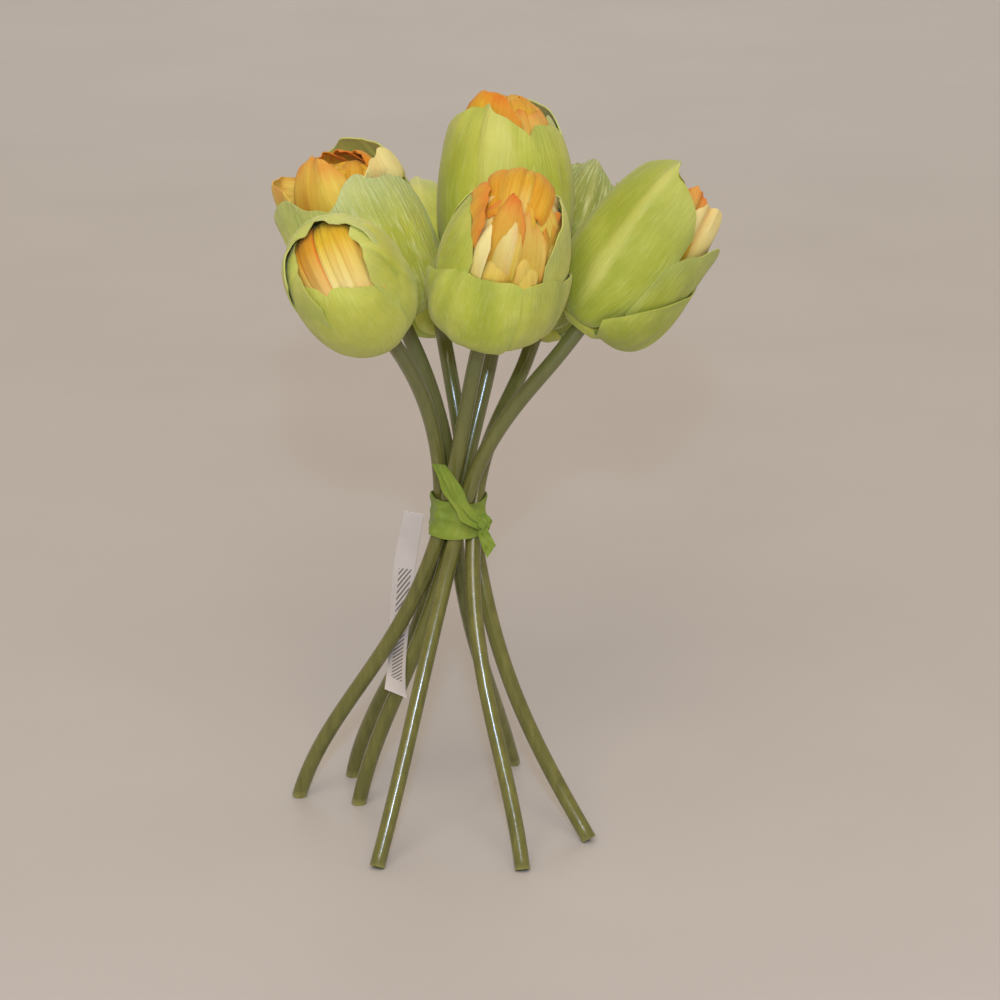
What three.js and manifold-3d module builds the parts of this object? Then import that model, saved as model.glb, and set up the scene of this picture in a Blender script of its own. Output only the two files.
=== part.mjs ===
// A tied bunch of seven artificial double tulips that stands on its cut stem ends.
// Millimetres, +Z up, the floor at z = 0. The viewer of the reference view looks along +Y.
import * as THREE from 'three';
import { mergeVertices } from 'three/addons/utils/BufferGeometryUtils.js';
import Module from 'manifold-3d';

const wasm = await Module();
wasm.setup();

// ---- driving dimensions, mm and degrees --------------------------------------------------

const CLEARANCE = 0.3;
const SMALLEST_DETAIL = 0.06;
const WELD = 1e-4;

// Six stems wind the same way round a seventh, and one ribbon ties them where they cross.
const STEM_RADIUS = 2.2;
const STEM_SIDES = 8;
const STEM_STEPS = 12;
const FOOT_TRIM = 0.45;
const FOOT_REACH = 3;
const TIE_HEIGHT = 94;
const SLOT_RADIUS = 5;
const PLUG_LENGTH = 5;
const STRAIGHT_END = 8;
// How far a stem keeps its lean below and above the tie, and its head's direction under the
// head, as shares of the way to the foot and to the head.
const KNEE = 0.42;
const WAIST = 0.42;
const THROAT = 0.28;
// How high a stem's foot is drawn in, as a share of the tie's height.
const CALF = 1 / 3;

// A flower head before it is tilted: its axis is +Z and its neck is at the origin. Green
// petals grow from a small cup round the stem, and yellow ones from a bud above that cup.
const BLADE = 0.7;
const WHORL_PITCH = 2.2;
const WHORL_TWIST = 0.6;
const GROWN_MARGIN = 0.02;
const GREEN = { root: { x: 5, y: 2 }, sag: 4, across: 5, along: 4 };
const YELLOW = { root: { x: 3.5, y: 12 }, sag: 4, across: 3, along: 3 };
const CUP_PROFILE = [[0, -1.6], [4.4, -1.6], [8, 0.6], [6.6, 5.6], [0, 6.4]];
const CUP_SIDES = 8;
const SOCKET_LENGTH = 20;
const BUD_ROOT = [[0, 7.4], [4.5, 7.6]];
const BUD_TOP = [[8, 0.48], [6, 0.8], [0, 0.93]];

// A petal's outline: its root's width as a share of its full width, the share of its height
// where it is full, and how much its corners are cut away.
const PETAL_ROOT = 0.6;
const PETAL_FULL = 0.6;
const CORNER_CUT = 0.2;
const CORNER_POWER = 2.5;

// How a petal's wall swells, as shares of its head's girth and of its own height: open at
// the mouth, drawn in like a bud, or round like a fist.
const HIP = 1.2;
const OPEN = { x: 1.3, y: 0.55 };
const DRAWN = { x: 1.3, y: 0.75 };
const ROUND = { x: 1.2, y: 0.95 };
const DOMED = { x: 1.5, y: 0.9 };

// The whorl of yellow petals round each bud: how many, how far inside the green they lie,
// half spread, and mouth as a share of the head's crown.
const YELLOW_WHORL = { count: 4, inset: 3.4, spread: 48, mouth: 0.6 };
const SPILLED_INSET = 2.2;

// The ribbon: a band pulled tight round the stems, a knot at its front right, and two tails
// that end in points, one up across the band and one down.
const BAND = {
  bottom: 86, top: 97, gap: 0.35, thickness: 0.75, around: 24, rows: 3,
  crease: 0.25, creaseWaves: 3, creaseBeats: 5, creaseDrift: 1.7,
};
const BELT_TURN = 81;
const BELT_STEP = 1.8;
const KNOT = { centre: [5.8, -8.2, 90.2], size: [3.4, 2.2, 3], around: 8, up: 6 };
const TAIL_STEPS = 5;
const TAIL_POINT = 0.08;
const UPPER_TAIL = { bend: [-1, -11.2, 96], tip: [-7.2, -11.6, 108.3], width: 7 };
const LOWER_TAIL = { bend: [8, -9.8, 87], tip: [9.6, -9.4, 81.2], width: 5 };

// The price label: a film strip that hangs from the band's left side and turns as it falls,
// behind the leftmost stem and in front of the two at the back. Its two edges, from the top.
const LABEL = {
  left: [
    [-15.2, 6, 90.5], [-18.4, 8.8, 74], [-19.8, 9.8, 56], [-20.2, 4.8, 46], [-21.2, 1.1, 38.5],
  ],
  right: [
    [-9.8, 4.5, 89.5], [-12.2, 6.8, 74], [-14.3, 5.2, 56], [-15.2, -1.8, 46], [-15.1, -2.1, 37],
  ],
  thickness: 0.6,
  steps: 8,
};

// The middle of the bunch's bounding box in plan, measured from the tie's axis.
const BOX_MIDDLE = { x: 9.3, y: 8.3 };

const GREEN_CLOTH = new THREE.MeshStandardMaterial({ color: '#b1bc3c', roughness: 0.7 });
const YELLOW_CLOTH = new THREE.MeshStandardMaterial({ color: '#e3ae3c', roughness: 0.7 });
const STEM_PLASTIC = new THREE.MeshStandardMaterial({ color: '#5d6a2c', roughness: 0.25 });
const RIBBON_CLOTH = new THREE.MeshStandardMaterial({ color: '#758d31', roughness: 0.6 });
const LABEL_FILM = new THREE.MeshStandardMaterial({ color: '#c8c4c0', roughness: 0.3 });

// Each flower: where its stem stands, its place in the tie, by how much and which way it
// leans there, how far in its foot is drawn, where its head begins and which way the head
// faces. Azimuths run from +X to +Y. The tallest flower has the middle place, no azimuth.
// A petal's turn is its azimuth round the head, from the viewer's side towards the right, and
// its slant is how much higher its rim runs towards its far end, as a share of its height.
const FLOWERS = [
  {
    foot: [-31.8, 32.6], slot: 164.1, lean: 5.2, heading: 278.2, draw: 0.2,
    neck: [-21, -29.2, 154.1], facing: [-0.345, -0.649, 0.678], girth: 15,
    outer: [
      { turn: -35, spread: 75, mouth: 9.5, height: 34, wall: ROUND },
      { turn: 95, spread: 60, mouth: 9, height: 37, wall: ROUND },
      { turn: 205, spread: 75, mouth: 8.5, height: 39.5, wall: ROUND },
    ],
    inner: [
      { turn: 25, spread: 65, mouth: 9.5, height: 33.5, wall: ROUND },
      { turn: 145, spread: 65, mouth: 8.5, height: 40, wall: ROUND },
      { turn: 265, spread: 65, mouth: 8.5, height: 37.5, wall: ROUND },
    ],
    yellow: { crown: 9, height: 37.5, turn: 10 },
    spilled: [],
  },
  {
    foot: [15.7, 42.1], slot: 108.9, lean: 4.6, heading: 223.7, draw: 0.36,
    neck: [-16.2, 6, 147.4], facing: [-0.4, -0.05, 0.915], girth: 15.2,
    outer: [
      { turn: 24, spread: 56, mouth: 15.5, height: 43, wall: OPEN },
      { turn: 155, spread: 62, mouth: 13, height: 48.5, wall: DRAWN },
      { turn: 315, spread: 58, mouth: 18.5, height: 43.5, wall: OPEN },
    ],
    inner: [
      { turn: 92, spread: 52, mouth: 15, height: 36, wall: OPEN },
      { turn: 205, spread: 60, mouth: 12, height: 46.5, wall: DRAWN },
      { turn: 248, spread: 58, mouth: 18, height: 37, wall: OPEN },
    ],
    yellow: { crown: 10, height: 46.5, turn: 10 },
    spilled: [
      { turn: 272, spread: 50, mouth: 15.5, height: 49, wall: DOMED },
      { turn: 325, spread: 54, mouth: 5, height: 52, wall: DOMED },
      { turn: 55, spread: 30, mouth: 14, height: 47, wall: ROUND },
    ],
  },
  {
    foot: [-29.3, 9.8], slot: null, lean: 11.4, heading: 31.7, draw: 0.21,
    neck: [11.3, 12, 155.1], facing: [0.05, -0.04, 0.99], girth: 16.5,
    outer: [
      { turn: 38, spread: 66, mouth: 12, height: 45, wall: DRAWN },
      { turn: 145, spread: 72, mouth: 12, height: 49, wall: DRAWN },
      { turn: 265, spread: 72, mouth: 10, height: 46, wall: DRAWN },
    ],
    inner: [
      { turn: -34, spread: 66, mouth: 11, height: 51.5, wall: DRAWN },
      { turn: 88, spread: 60, mouth: 12, height: 47, wall: DRAWN },
      { turn: 205, spread: 68, mouth: 10, height: 48, wall: DRAWN },
    ],
    yellow: { crown: 9.5, height: 53, turn: 14 },
    spilled: [{ turn: -40, spread: 44, mouth: 4, height: 55.5, wall: ROUND }],
  },
  {
    foot: [-46.9, 15.8], slot: 227.1, lean: 13.1, heading: 352.4, draw: 0.2,
    neck: [8.1, -19.2, 152.4], facing: [0.2, -0.47, 0.855], girth: 16,
    outer: [
      { turn: -42, spread: 63, mouth: 16.6, height: 25.5, slant: 0.16, wall: OPEN },
      { turn: 52, spread: 63, mouth: 17, height: 27, slant: -0.12, wall: OPEN },
      { turn: 175, spread: 70, mouth: 11, height: 41, wall: DRAWN },
    ],
    inner: [
      { turn: 0, spread: 50, mouth: 15.5, height: 26, wall: OPEN },
      { turn: 98, spread: 56, mouth: 12, height: 44, wall: DRAWN },
      { turn: 266, spread: 62, mouth: 12, height: 42, wall: DRAWN },
    ],
    yellow: { crown: 9, height: 50.5, turn: 34 },
    spilled: [
      { turn: 18, spread: 42, mouth: 9, height: 42, wall: DRAWN },
      { turn: 65, spread: 34, mouth: 9, height: 45, wall: DRAWN },
      { turn: 290, spread: 40, mouth: 8, height: 46, wall: DRAWN },
    ],
  },
  {
    foot: [-22.5, -39.9], slot: 286.9, lean: 17.6, heading: 34.2, draw: 0.37,
    neck: [34.6, -8, 148.6], facing: [0.61, 0.11, 0.78], girth: 13.8,
    outer: [
      { turn: -46, spread: 68, mouth: 11, height: 48.5, wall: DRAWN },
      { turn: 74, spread: 64, mouth: 17.5, height: 23.5, slant: 0.25, wall: OPEN },
      { turn: 205, spread: 75, mouth: 9, height: 47, wall: DRAWN },
    ],
    inner: [
      { turn: 68, spread: 50, mouth: 16, height: 37, wall: OPEN },
      { turn: 145, spread: 60, mouth: 11, height: 44, wall: DRAWN },
      { turn: 280, spread: 65, mouth: 9, height: 47, wall: DRAWN },
    ],
    yellow: { crown: 7, height: 44, turn: 80 },
    spilled: [{ turn: 38, spread: 32, mouth: 11, height: 48, wall: DRAWN }],
  },
  {
    foot: [18.1, -41.6], slot: 347.6, lean: 25.9, heading: 78.1, draw: 0.31,
    neck: [22.2, 32.6, 135.8], facing: [0.343, 0.372, 0.863], girth: 14.5,
    outer: [
      { turn: -20, spread: 66, mouth: 8, height: 49, wall: DRAWN },
      { turn: 100, spread: 70, mouth: 8, height: 47, wall: DRAWN },
      { turn: 220, spread: 64, mouth: 8, height: 48, wall: DRAWN },
    ],
    inner: [
      { turn: 40, spread: 65, mouth: 7, height: 46, wall: DRAWN },
      { turn: 160, spread: 65, mouth: 7, height: 47, wall: DRAWN },
      { turn: 280, spread: 65, mouth: 7, height: 48, wall: DRAWN },
    ],
    yellow: { crown: 6, height: 48, turn: 50 },
    spilled: [],
  },
  {
    foot: [37.1, -20.1], slot: 50.1, lean: 24.7, heading: 106.9, draw: 0.57,
    neck: [-5.3, 30, 140.8], facing: [-0.13, 0.87, 0.467], girth: 14,
    outer: [
      { turn: 0, spread: 70, mouth: 9, height: 48, wall: DRAWN },
      { turn: 120, spread: 70, mouth: 9, height: 47.5, wall: DRAWN },
      { turn: 240, spread: 70, mouth: 9, height: 48, wall: DRAWN },
    ],
    inner: [
      { turn: 60, spread: 65, mouth: 8, height: 47, wall: DRAWN },
      { turn: 180, spread: 65, mouth: 8, height: 49, wall: DRAWN },
      { turn: 300, spread: 65, mouth: 8, height: 49, wall: DRAWN },
    ],
    yellow: { crown: 7, height: 47, turn: 60 },
    spilled: [],
  },
];

// ---- solids: joining, cutting and keeping one closed body --------------------------------

function toSolid(geometry) {
  const bare = geometry.clone();
  bare.deleteAttribute('normal');
  bare.deleteAttribute('uv');
  const welded = mergeVertices(bare, WELD);
  return new wasm.Manifold(new wasm.Mesh({
    numProp: 3,
    vertProperties: new Float32Array(welded.attributes.position.array),
    triVerts: new Uint32Array(welded.index.array),
  }));
}

// The largest shell alone: loose scraps go, and a sealed hollow is filled.
function largestShell(solid) {
  const shells = solid.asOriginal().simplify(SMALLEST_DETAIL).decompose();
  shells.sort((a, b) => b.volume() - a.volume());
  return shells[0];
}

function toGeometry(solid) {
  const mesh = solid.getMesh();
  const geometry = new THREE.BufferGeometry();
  geometry.setAttribute('position', new THREE.BufferAttribute(mesh.vertProperties, 3));
  geometry.setIndex(new THREE.BufferAttribute(mesh.triVerts, 1));
  geometry.computeVertexNormals();
  return geometry;
}

// A closed blade round a grid of middle points, split the same way on both faces.
function bladeGeometry(middle, thickness) {
  const rows = middle.length;
  const columns = middle[0].length;
  const positions = [];
  const clampRow = (i) => Math.min(Math.max(i, 0), rows - 1);
  const clampColumn = (j) => Math.min(Math.max(j, 0), columns - 1);
  for (const side of [1, -1]) {
    for (let i = 0; i < rows; i += 1) {
      for (let j = 0; j < columns; j += 1) {
        const along = middle[clampRow(i + 1)][j].clone().sub(middle[clampRow(i - 1)][j]);
        const across = middle[i][clampColumn(j + 1)].clone().sub(middle[i][clampColumn(j - 1)]);
        const normal = across.cross(along).normalize();
        const point = middle[i][j].clone().addScaledVector(normal, side * thickness / 2);
        positions.push(point.x, point.y, point.z);
      }
    }
  }
  const at = (side, i, j) => side * rows * columns + i * columns + j;
  const index = [];
  for (let i = 0; i + 1 < rows; i += 1) {
    for (let j = 0; j + 1 < columns; j += 1) {
      index.push(at(0, i, j), at(0, i, j + 1), at(0, i + 1, j + 1));
      index.push(at(0, i, j), at(0, i + 1, j + 1), at(0, i + 1, j));
      index.push(at(1, i, j), at(1, i + 1, j + 1), at(1, i, j + 1));
      index.push(at(1, i, j), at(1, i + 1, j), at(1, i + 1, j + 1));
    }
  }
  const edge = [];
  for (let j = 0; j < columns - 1; j += 1) edge.push([0, j]);
  for (let i = 0; i < rows - 1; i += 1) edge.push([i, columns - 1]);
  for (let j = columns - 1; j > 0; j -= 1) edge.push([rows - 1, j]);
  for (let i = rows - 1; i > 0; i -= 1) edge.push([i, 0]);
  edge.forEach(([i, j], k) => {
    const [m, n] = edge[(k + 1) % edge.length];
    index.push(at(0, i, j), at(1, i, j), at(1, m, n));
    index.push(at(0, i, j), at(1, m, n), at(0, m, n));
  });
  const geometry = new THREE.BufferGeometry();
  geometry.setAttribute('position', new THREE.Float32BufferAttribute(positions, 3));
  geometry.setIndex(index);
  return geometry;
}

// ---- stems -------------------------------------------------------------------------------

function stemPath(flower) {
  const foot = new THREE.Vector3(...flower.foot, 0);
  const neck = new THREE.Vector3(...flower.neck);
  const facing = new THREE.Vector3(...flower.facing).normalize();
  const slot = new THREE.Vector3(0, 0, TIE_HEIGHT);
  if (flower.slot !== null) {
    const azimuth = THREE.MathUtils.degToRad(flower.slot);
    slot.x = SLOT_RADIUS * Math.cos(azimuth);
    slot.y = SLOT_RADIUS * Math.sin(azimuth);
  }
  const lean = THREE.MathUtils.degToRad(flower.lean);
  const heading = THREE.MathUtils.degToRad(flower.heading);
  const rising = new THREE.Vector3(0, Math.sin(lean), Math.cos(lean));
  rising.applyAxisAngle(new THREE.Vector3(0, 0, 1), heading - Math.PI / 2);
  const below = slot.distanceTo(foot);
  const bend = neck.clone().addScaledVector(facing, -STRAIGHT_END);
  const above = slot.distanceTo(bend);
  const calf = foot.clone().lerp(slot, flower.draw);
  calf.z = CALF * TIE_HEIGHT;
  const splay = calf.clone().sub(foot).normalize();
  foot.z = STEM_RADIUS * Math.sqrt(1 - splay.z ** 2) - FOOT_TRIM;
  const knee = slot.clone().addScaledVector(rising, -KNEE * below);
  const waist = slot.clone().addScaledVector(rising, WAIST * above);
  const throat = bend.clone().addScaledVector(facing, -THROAT * above);
  const path = new THREE.CurvePath();
  path.add(new THREE.CubicBezierCurve3(foot, calf, knee, slot));
  path.add(new THREE.CubicBezierCurve3(slot, waist, throat, bend));
  path.add(new THREE.LineCurve3(bend, neck.clone().addScaledVector(facing, PLUG_LENGTH)));
  return path;
}

function ring(radius, sides) {
  const corners = [];
  for (let k = 0; k < sides; k += 1) {
    const angle = (2 * Math.PI * k) / sides;
    corners.push(new THREE.Vector2(radius * Math.cos(angle), radius * Math.sin(angle)));
  }
  return new THREE.Shape(corners);
}

// A stem is cut square to its own length, and its lowest edge is trimmed flat on the floor.
function stemGeometry(flower) {
  const tube = new THREE.ExtrudeGeometry(ring(STEM_RADIUS, STEM_SIDES), {
    steps: STEM_STEPS, extrudePath: stemPath(flower),
  });
  const reach = 2 * FOOT_REACH * STEM_RADIUS;
  const floor = new THREE.BoxGeometry(reach, reach, 2 * STEM_RADIUS);
  floor.translate(flower.foot[0], flower.foot[1], -STEM_RADIUS);
  return toGeometry(largestShell(toSolid(tube).subtract(toSolid(floor))));
}

// ---- ribbon and label --------------------------------------------------------------------

// Where every stem passes a height.
function stemsAt(height) {
  return FLOWERS.map((flower) => {
    const points = stemPath(flower).getSpacedPoints(STEM_STEPS);
    const above = points.findIndex((point) => point.z > height);
    const [low, high] = [points[above - 1], points[above]];
    return low.clone().lerp(high, (height - low.z) / (high.z - low.z));
  });
}

// The radius, at an azimuth, of a belt stretched round equal circles at the given centres.
function beltRadius(centres, azimuth) {
  let radius = Infinity;
  for (let degrees = -BELT_TURN; degrees <= BELT_TURN; degrees += BELT_STEP) {
    const turn = THREE.MathUtils.degToRad(degrees);
    const away = new THREE.Vector3(Math.cos(azimuth + turn), Math.sin(azimuth + turn), 0);
    const reach = Math.max(...centres.map((centre) => centre.dot(away))) + STEM_RADIUS;
    radius = Math.min(radius, reach / Math.cos(turn));
  }
  return radius;
}

function bandGeometry() {
  const inside = [];
  const outside = [];
  for (let row = 0; row <= BAND.rows; row += 1) {
    const height = THREE.MathUtils.lerp(BAND.bottom, BAND.top, row / BAND.rows);
    const centres = stemsAt(height);
    for (let k = 0; k < BAND.around; k += 1) {
      const azimuth = (2 * Math.PI * k) / BAND.around;
      const belt = beltRadius(centres, azimuth) + BAND.gap;
      const wave = Math.sin(BAND.creaseWaves * azimuth + BAND.creaseDrift * row);
      const beat = Math.cos(BAND.creaseBeats * azimuth - row);
      const thick = belt + BAND.thickness + BAND.crease * wave * beat;
      inside.push(belt * Math.cos(azimuth), belt * Math.sin(azimuth), height);
      outside.push(thick * Math.cos(azimuth), thick * Math.sin(azimuth), height);
    }
  }
  const inner = (row, k) => row * BAND.around + (k % BAND.around);
  const outer = (row, k) => (BAND.rows + 1) * BAND.around + inner(row, k);
  const index = [];
  const quad = (a, b, c, d) => index.push(a, b, c, a, c, d);
  for (let k = 0; k < BAND.around; k += 1) {
    for (let row = 0; row < BAND.rows; row += 1) {
      quad(outer(row, k), outer(row, k + 1), outer(row + 1, k + 1), outer(row + 1, k));
      quad(inner(row, k), inner(row + 1, k), inner(row + 1, k + 1), inner(row, k + 1));
    }
    quad(inner(0, k), inner(0, k + 1), outer(0, k + 1), outer(0, k));
    const top = BAND.rows;
    quad(outer(top, k), outer(top, k + 1), inner(top, k + 1), inner(top, k));
  }
  const geometry = new THREE.BufferGeometry();
  geometry.setAttribute('position', new THREE.Float32BufferAttribute(inside.concat(outside), 3));
  geometry.setIndex(index);
  return geometry;
}

// A strip from the knot to a pointed tip, widest where it leaves the knot.
function tailGeometry(tail) {
  const knot = new THREE.Vector3(...KNOT.centre);
  const tip = new THREE.Vector3(...tail.tip);
  const path = new THREE.QuadraticBezierCurve3(knot, new THREE.Vector3(...tail.bend), tip);
  const middle = [];
  for (let i = 0; i <= TAIL_STEPS; i += 1) {
    const t = i / TAIL_STEPS;
    const along = path.getTangent(t);
    const across = new THREE.Vector3(0, 1, 0).cross(along).normalize();
    const half = (tail.width / 2) * Math.max(1 - t ** 2, TAIL_POINT);
    middle.push([-1, 0, 1].map((u) => path.getPoint(t).addScaledVector(across, u * half)));
  }
  return bladeGeometry(middle, BLADE);
}

function ribbonGeometry() {
  const knot = new THREE.SphereGeometry(1, KNOT.around, KNOT.up);
  knot.scale(...KNOT.size).translate(...KNOT.centre);
  let ribbon = toSolid(bandGeometry());
  for (const piece of [knot, tailGeometry(UPPER_TAIL), tailGeometry(LOWER_TAIL)]) {
    ribbon = ribbon.add(toSolid(piece));
  }
  return toGeometry(largestShell(ribbon));
}

function labelGeometry() {
  const [left, right] = [LABEL.left, LABEL.right].map((edge) => (
    new THREE.CatmullRomCurve3(edge.map((point) => new THREE.Vector3(...point)))
  ));
  const middle = [];
  for (let i = 0; i <= LABEL.steps; i += 1) {
    const t = 1 - i / LABEL.steps;
    middle.push([left.getPoint(t), right.getPoint(t)]);
  }
  return bladeGeometry(middle, LABEL.thickness);
}

// ---- flower heads ------------------------------------------------------------------------

// The wall of a cup in its own plane, from the root (t = 0) to the mouth (t = 1).
function cupWall(cloth, girth, petal) {
  return new THREE.CubicBezierCurve(
    new THREE.Vector2(cloth.root.x, cloth.root.y),
    new THREE.Vector2(HIP * girth, cloth.root.y - cloth.sag),
    new THREE.Vector2(petal.wall.x * girth, petal.wall.y * petal.height),
    new THREE.Vector2(petal.mouth, petal.height),
  );
}

// A petal lies on a cup's wall, offset square to it by its whorl and by its own twist, so
// that one edge of each petal lies over its neighbour. Its outer corners are rounded off.
function petalMiddle(cloth, girth, petal, offset, margin) {
  const wall = cupWall(cloth, girth, petal);
  const middle = [];
  for (let i = 0; i <= cloth.along; i += 1) {
    const row = [];
    for (let j = 0; j <= cloth.across; j += 1) {
      const u = ((2 * j) / cloth.across - 1) * (1 + margin);
      const slant = (petal.slant ?? 0) * u;
      const cut = CORNER_CUT * Math.abs(u) ** CORNER_POWER;
      const t = (i / cloth.along) * (1 + margin + slant - cut);
      const at = wall.getPoint(t);
      const slope = wall.getTangent(t);
      const out = offset + WHORL_TWIST * u;
      const radius = at.x + slope.y * out;
      const height = at.y - slope.x * out;
      const full = Math.sin(Math.min(t / PETAL_FULL, 1) * Math.PI / 2);
      const width = petal.spread * THREE.MathUtils.lerp(PETAL_ROOT, 1, full);
      const angle = THREE.MathUtils.degToRad(petal.turn + u * width);
      row.push(new THREE.Vector3(radius * Math.sin(angle), -radius * Math.cos(angle), height));
    }
    middle.push(row);
  }
  return middle;
}

// A grown petal is wider and thicker by the clearance: it cuts a space round the petal.
function petalSolid(cloth, girth, petal, offset, grown = false) {
  const middle = petalMiddle(cloth, girth, petal, offset, grown ? GROWN_MARGIN : 0);
  return toSolid(bladeGeometry(middle, grown ? BLADE + 2 * CLEARANCE : BLADE));
}

function turnedSolid(profile) {
  const points = profile.map(([radius, height]) => new THREE.Vector2(radius, height));
  return toSolid(new THREE.LatheGeometry(points, CUP_SIDES).rotateX(Math.PI / 2));
}

function greenPetals(flower, grown) {
  const solid = (offset) => (petal) => petalSolid(GREEN, flower.girth, petal, offset, grown);
  return [...flower.outer.map(solid(WHORL_PITCH)), ...flower.inner.map(solid(0))];
}

// The whorl of yellow petals, and the petals that have spilled out past it.
function yellowPetals(flower) {
  const { crown, height, turn } = flower.yellow;
  const lying = flower.girth - SPILLED_INSET;
  const petals = flower.spilled.map((petal) => petalSolid(YELLOW, lying, petal, 0));
  for (let k = 0; k < YELLOW_WHORL.count; k += 1) {
    const petal = {
      turn: turn + (360 * k) / YELLOW_WHORL.count,
      spread: YELLOW_WHORL.spread,
      mouth: crown * YELLOW_WHORL.mouth,
      height,
      wall: ROUND,
    };
    petals.push(petalSolid(YELLOW, flower.girth - YELLOW_WHORL.inset, petal, 0));
  }
  return petals;
}

function budProfile(flower) {
  const top = BUD_TOP.map(([radius, share]) => [radius, share * flower.yellow.height]);
  return [...BUD_ROOT, ...top];
}

function headMeshes(flower, name) {
  const bore = STEM_RADIUS + CLEARANCE;
  const socket = new THREE.CylinderGeometry(bore, bore, SOCKET_LENGTH, CUP_SIDES);
  socket.rotateX(Math.PI / 2);
  socket.translate(0, 0, CLEARANCE - PLUG_LENGTH);
  let green = turnedSolid(CUP_PROFILE);
  for (const petal of greenPetals(flower, false)) green = green.add(petal);
  green = green.subtract(toSolid(socket));
  let yellow = turnedSolid(budProfile(flower));
  for (const petal of yellowPetals(flower)) yellow = yellow.add(petal);
  for (const petal of greenPetals(flower, true)) yellow = yellow.subtract(petal);
  const outside = new THREE.Mesh(toGeometry(largestShell(green)), GREEN_CLOTH);
  outside.name = `${name}_outer_petals`;
  const inside = new THREE.Mesh(toGeometry(largestShell(yellow)), YELLOW_CLOTH);
  inside.name = `${name}_inner_petals`;
  return [outside, inside];
}

// The head's axis is the way it faces, and its turn of zero is its side nearest the viewer.
function headFrame(flower) {
  const axis = new THREE.Vector3(...flower.facing).normalize();
  const towardsViewer = new THREE.Vector3(0, -1, 0);
  const back = towardsViewer.addScaledVector(axis, -towardsViewer.dot(axis)).normalize().negate();
  const right = back.clone().cross(axis).normalize();
  return new THREE.Matrix4().makeBasis(right, back, axis);
}

// ---- the bunch ---------------------------------------------------------------------------

const bunch = new THREE.Group();
bunch.position.set(-BOX_MIDDLE.x, -BOX_MIDDLE.y, 0);
FLOWERS.forEach((flower, k) => {
  const stem = new THREE.Mesh(stemGeometry(flower), STEM_PLASTIC);
  stem.name = `stem_${k + 1}`;
  bunch.add(stem);
  const head = new THREE.Group();
  head.position.set(...flower.neck);
  head.quaternion.setFromRotationMatrix(headFrame(flower));
  head.add(...headMeshes(flower, `flower_${k + 1}`));
  bunch.add(head);
});
const ribbon = new THREE.Mesh(ribbonGeometry(), RIBBON_CLOTH);
ribbon.name = 'ribbon_tie';
const label = new THREE.Mesh(labelGeometry(), LABEL_FILM);
label.name = 'price_label';
bunch.add(ribbon, label);

export default bunch;
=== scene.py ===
"""A tied bunch of seven artificial double tulips that stands on its cut stem ends.

Metres and the CAD model's frame throughout. Sizes are written in millimetres from the
axis of the tie, and become metres in the frame as each piece is made.
"""
import math

import bpy
import numpy as np
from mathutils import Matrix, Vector


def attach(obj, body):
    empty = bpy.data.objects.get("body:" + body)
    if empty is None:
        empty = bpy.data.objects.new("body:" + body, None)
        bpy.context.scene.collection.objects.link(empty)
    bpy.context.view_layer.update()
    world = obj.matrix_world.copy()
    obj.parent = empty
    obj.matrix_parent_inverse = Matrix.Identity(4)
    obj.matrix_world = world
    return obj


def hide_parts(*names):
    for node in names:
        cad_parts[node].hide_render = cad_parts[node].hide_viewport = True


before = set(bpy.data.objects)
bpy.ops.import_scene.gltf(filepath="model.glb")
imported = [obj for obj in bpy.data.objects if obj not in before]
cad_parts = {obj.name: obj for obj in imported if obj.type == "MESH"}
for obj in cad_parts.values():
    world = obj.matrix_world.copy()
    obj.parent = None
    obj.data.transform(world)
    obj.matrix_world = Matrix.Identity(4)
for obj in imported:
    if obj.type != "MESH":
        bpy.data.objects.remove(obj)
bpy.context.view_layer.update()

# ---- the viewpoint --------------------------------------------------------------------
# A long lens a metre away, level with the top of a table tripod, looking a little down on
# the bunch. The picture is square.
CAMERA_PLACE = (0.0025, -1.075235, 0.421609)
CAMERA_PITCH = 17
CAMERA_LENS = 142.56
CAMERA_FILM = 36

bpy.ops.object.camera_add(
    location=CAMERA_PLACE,
    rotation=(math.radians(90 - CAMERA_PITCH), 0, 0),
)
camera = bpy.context.object
camera.data.lens = CAMERA_LENS
camera.data.sensor_width = CAMERA_FILM
camera.data.clip_end = 10
bpy.context.scene.camera = camera
bpy.context.scene.view_settings.view_transform = "Standard"

# ---- stems ----------------------------------------------------------------------------
# Seven rods of soft olive polyethylene moulded over wire, about 4.4 mm thick and satin
# glossy, cut square at the foot. They are bent by hand, cross in the tie and end in the
# flower heads.
MM = 0.001
BOX_MIDDLE = np.array((9.3, 8.3, 0))
STEM_RADIUS = 2.2
STEM_FACETS = 7
STEM_STEPS = 36
STEM_END_ROUND = 0.55
FOOT_TRIM = 0.45
TIE_HEIGHT = 94
SLOT_RADIUS = 5
PLUG_LENGTH = 5
STRAIGHT_END = 8
KNEE = 0.42
WAIST = 0.42
THROAT = 0.28

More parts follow.
